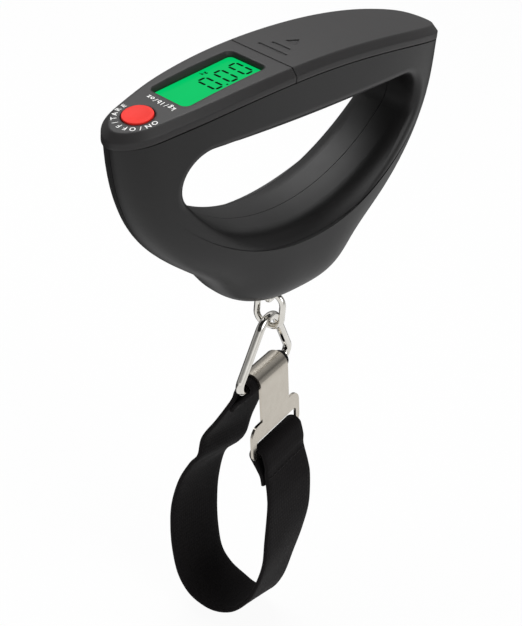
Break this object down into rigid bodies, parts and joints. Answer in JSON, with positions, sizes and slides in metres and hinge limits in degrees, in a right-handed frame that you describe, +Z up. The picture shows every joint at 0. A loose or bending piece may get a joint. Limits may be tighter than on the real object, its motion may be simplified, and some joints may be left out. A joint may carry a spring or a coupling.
{
  "type": "luggage scale",
  "caption": "Handheld digital luggage scale: closed loop grip, sunk top display, red power button, sliding battery door, and a webbing strap with a hook plate.",
  "frame": {"origin": "centre of the grip bar, where the hand's pull acts", "axes": "+X along the grip to the battery end, -Y the front, +Z up"},
  "size_m": [0.1367, 0.0424, 0.233],
  "materials": {
    "shell_plastic": "fine matte moulded texture",
    "cap_plastic": "satin",
    "screw_steel": "zinc plated",
    "lcd_window": "clear gloss",
    "lcd_glass": "smooth",
    "backlight": "diffuse",
    "contact_rubber": "matte",
    "circuit_board": "solder mask",
    "switch_plastic": "matte",
    "button_red": "satin",
    "tray_plastic": "matte",
    "cell_wrap": "printed film sleeve",
    "spring_steel": "nickel plated",
    "load_cell_alloy": "machined",
    "gauge_film": "film",
    "bright_steel": "bright nickel plated",
    "black_webbing": "woven",
    "satin_steel": "satin nickel plated"
  },
  "bodies": {
    "housing": {"front_shell": "shell_plastic", "rear_shell": "shell_plastic", "shell_screws": "screw_steel", "display_bezel": "cap_plastic", "lcd_window": "lcd_window", "lcd_panel": "lcd_glass", "backlight_panel": "backlight", "lcd_contact_strip": "contact_rubber", "main_board": "circuit_board", "board_screws": "screw_steel", "tact_switch": "switch_plastic", "beeper": "switch_plastic", "battery_tray": "tray_plastic", "battery_cells": "cell_wrap", "battery_contacts": "spring_steel", "load_cell": "load_cell_alloy", "load_cell_bracket": "spring_steel", "load_cell_screws": "screw_steel", "strain_gauges": "gauge_film"},
    "door": {"battery_door": "cap_plastic"},
    "button": {"power_button": "button_red"},
    "eye": {"load_eye": "bright_steel"},
    "link": {"oval_link": "bright_steel"},
    "ring": {"triangle_ring": "bright_steel"},
    "strap": {"strap_webbing": "black_webbing", "clip_plate": "satin_steel"}
  },
  "joints": [
    {"name": "button_press", "type": "slide", "parent": "housing", "child": "button", "axis": [0.2034, 0, -0.9791], "range_m": [0, 0.0008], "stiffness_N_per_m": 1500},
    {"name": "door_slide", "type": "hinge", "parent": "housing", "child": "door", "pos_m": [0, 0, -0.28398], "axis": [0, 1, 0], "range_deg": [0, 2.35]},
    {"name": "eye_swivel", "type": "hinge", "parent": "housing", "child": "eye", "pos_m": [0.0025, 0, 0], "axis": [0, 0, 1], "continuous": true},
    {"name": "link_swing", "type": "hinge", "parent": "eye", "child": "link", "pos_m": [0.0025, 0, -0.0796], "axis": [-0.2028, 0.9792, 0], "range_deg": [-50, 50]},
    {"name": "ring_swing", "type": "hinge", "parent": "link", "child": "ring", "pos_m": [0.0025, 0, -0.0893], "axis": [0.9792, 0.2028, 0], "range_deg": [-45, 45]},
    {"name": "strap_swing", "type": "hinge", "parent": "ring", "child": "strap", "pos_m": [0.0025, 0, -0.11246], "axis": [0.9792, 0.2028, 0], "range_deg": [-25, 25]}
  ]
}
